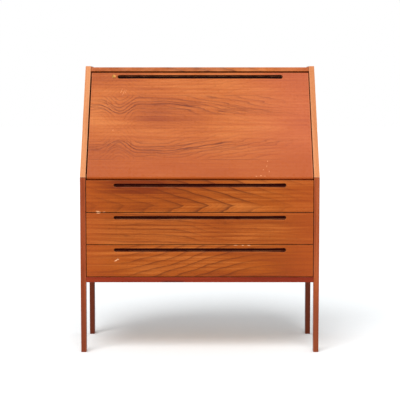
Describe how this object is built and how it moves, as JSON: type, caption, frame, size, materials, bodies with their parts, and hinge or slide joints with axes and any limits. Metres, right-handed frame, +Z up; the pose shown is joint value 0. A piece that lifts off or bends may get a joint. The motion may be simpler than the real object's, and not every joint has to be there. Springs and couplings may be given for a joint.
{
  "type": "secretary desk",
  "caption": "Secretary desk with a sloping fall front on folding stays over full-width drawers, on square legs, with pigeonholes inside.",
  "frame": {"origin": "on the floor, under the middle of the desk's bounding box", "axes": "+X to the desk's right as one faces it, -Y out of the drawers' faces, +Z up"},
  "size_m": [1, 0.45, 1.206],
  "materials": {
    "teak_fall": "oiled teak veneer, satin",
    "teak_drawers": "oiled teak veneer, satin",
    "teak_edges": "oiled solid teak, satin",
    "teak_sides": "oiled teak veneer, satin",
    "teak_legs": "oiled solid teak, satin",
    "teak_rail": "stained solid teak, satin",
    "teak_inside": "oiled teak veneer, satin",
    "case_bottom": "plain veneered board",
    "case_back": "stained plywood, matt",
    "beech_runners": "waxed beech",
    "beech_drawers": "lacquered beech",
    "drawer_floors": "birch plywood",
    "brass_pivots": "turned brass",
    "brass_stays": "brushed brass",
    "brass_lock": "polished brass, tarnished",
    "steel_cam": "zinc-plated steel"
  },
  "bodies": {
    "root": {"back_panel": "case_back", "bottom_board": "case_bottom", "bottom_rail": "teak_rail", "desk_floor": "teak_inside", "divider_left": "teak_inside", "divider_right": "teak_inside", "left_back_leg": "teak_legs", "left_front_leg": "teak_legs", "left_side_panel": "teak_sides", "left_slope_rail": "teak_edges", "pigeonhole_shelf": "teak_inside", "pivot_pin_left": "brass_pivots", "pivot_pin_right": "brass_pivots", "right_back_leg": "teak_legs", "right_front_leg": "teak_legs", "right_side_panel": "teak_sides", "right_slope_rail": "teak_edges", "runner_lower_left": "beech_runners", "runner_lower_right": "beech_runners", "runner_middle_left": "beech_runners", "runner_middle_right": "beech_runners", "runner_top_left": "beech_runners", "runner_top_right": "beech_runners", "stay_side_bracket_left": "brass_stays", "stay_side_bracket_right": "brass_stays", "strike_rail": "teak_inside", "top_board": "teak_edges", "upright_left": "teak_inside", "upright_right": "teak_inside"},
    "fall": {"fall_front": "teak_fall", "pivot_bush_left": "brass_pivots", "pivot_bush_right": "brass_pivots", "stay_fall_bracket_left": "brass_stays", "stay_fall_bracket_right": "brass_stays", "lock_housing": "brass_lock"},
    "lock": {"lock_plug": "brass_lock", "lock_cam": "steel_cam"},
    "drawer_lower": {"drawer_lower_front": "teak_drawers", "drawer_lower_left_side": "beech_drawers", "drawer_lower_right_side": "beech_drawers", "drawer_lower_back": "beech_drawers", "drawer_lower_floor": "drawer_floors"},
    "drawer_middle": {"drawer_middle_front": "teak_drawers", "drawer_middle_left_side": "beech_drawers", "drawer_middle_right_side": "beech_drawers", "drawer_middle_back": "beech_drawers", "drawer_middle_floor": "drawer_floors"},
    "drawer_top": {"drawer_top_front": "teak_drawers", "drawer_top_left_side": "beech_drawers", "drawer_top_right_side": "beech_drawers", "drawer_top_back": "beech_drawers", "drawer_top_floor": "drawer_floors"},
    "small_drawer_left": {"small_drawer_left_front": "teak_inside", "small_drawer_left_box": "beech_drawers"},
    "stay_rear_left": {"stay_rear_link_left": "brass_stays"},
    "stay_front_left": {"stay_front_link_left": "brass_stays"},
    "small_drawer_right": {"small_drawer_right_front": "teak_inside", "small_drawer_right_box": "beech_drawers"},
    "stay_rear_right": {"stay_rear_link_right": "brass_stays"},
    "stay_front_right": {"stay_front_link_right": "brass_stays"}
  },
  "joints": [
    {"name": "fall_hinge", "type": "hinge", "parent": "root", "child": "fall", "pos_m": [0, -0.20596, 0.7365], "axis": [1, 0, 0], "range_deg": [0, 123.06]},
    {"name": "drawer_lower_slide", "type": "slide", "parent": "root", "child": "drawer_lower", "axis": [0, -1, 0], "range_m": [0, 0.3]},
    {"name": "drawer_middle_slide", "type": "slide", "parent": "root", "child": "drawer_middle", "axis": [0, -1, 0], "range_m": [0, 0.3]},
    {"name": "drawer_top_slide", "type": "slide", "parent": "root", "child": "drawer_top", "axis": [0, -1, 0], "range_m": [0, 0.3]},
    {"name": "small_drawer_left_slide", "type": "slide", "parent": "root", "child": "small_drawer_left", "axis": [0, -1, 0], "range_m": [0, 0.12]},
    {"name": "small_drawer_right_slide", "type": "slide", "parent": "root", "child": "small_drawer_right", "axis": [0, -1, 0], "range_m": [0, 0.12]},
    {"name": "stay_rear_pivot_left", "type": "hinge", "parent": "root", "child": "stay_rear_left", "pos_m": [-0.47125, 0.04264, 0.8262], "axis": [1, 0, 0], "range_deg": [0, 131.58]},
    {"name": "stay_front_pivot_left", "type": "hinge", "parent": "fall", "child": "stay_front_left", "pos_m": [-0.46775, -0.04828, 0.94206], "axis": [1, 0, 0], "range_deg": [-132, 0]},
    {"name": "stay_rear_pivot_right", "type": "hinge", "parent": "root", "child": "stay_rear_right", "pos_m": [0.47125, 0.04264, 0.8262], "axis": [1, 0, 0], "range_deg": [0, 131.58]},
    {"name": "stay_front_pivot_right", "type": "hinge", "parent": "fall", "child": "stay_front_right", "pos_m": [0.46775, -0.04828, 0.94206], "axis": [1, 0, 0], "range_deg": [-132, 0]},
    {"name": "lock_turn", "type": "hinge", "parent": "fall", "child": "lock", "pos_m": [-0.375, 0.06635, 1.15478], "axis": [0, 0.8381, -0.5456], "range_deg": [0, 90]}
  ],
  "couplings": [
    {"joint": "stay_rear_pivot_left", "follows": "fall_hinge", "ratio": 1.0691},
    {"joint": "stay_front_pivot_left", "follows": "fall_hinge", "ratio": -1.0725},
    {"joint": "stay_rear_pivot_right", "follows": "fall_hinge", "ratio": 1.0691},
    {"joint": "stay_front_pivot_right", "follows": "fall_hinge", "ratio": -1.0725}
  ]
}
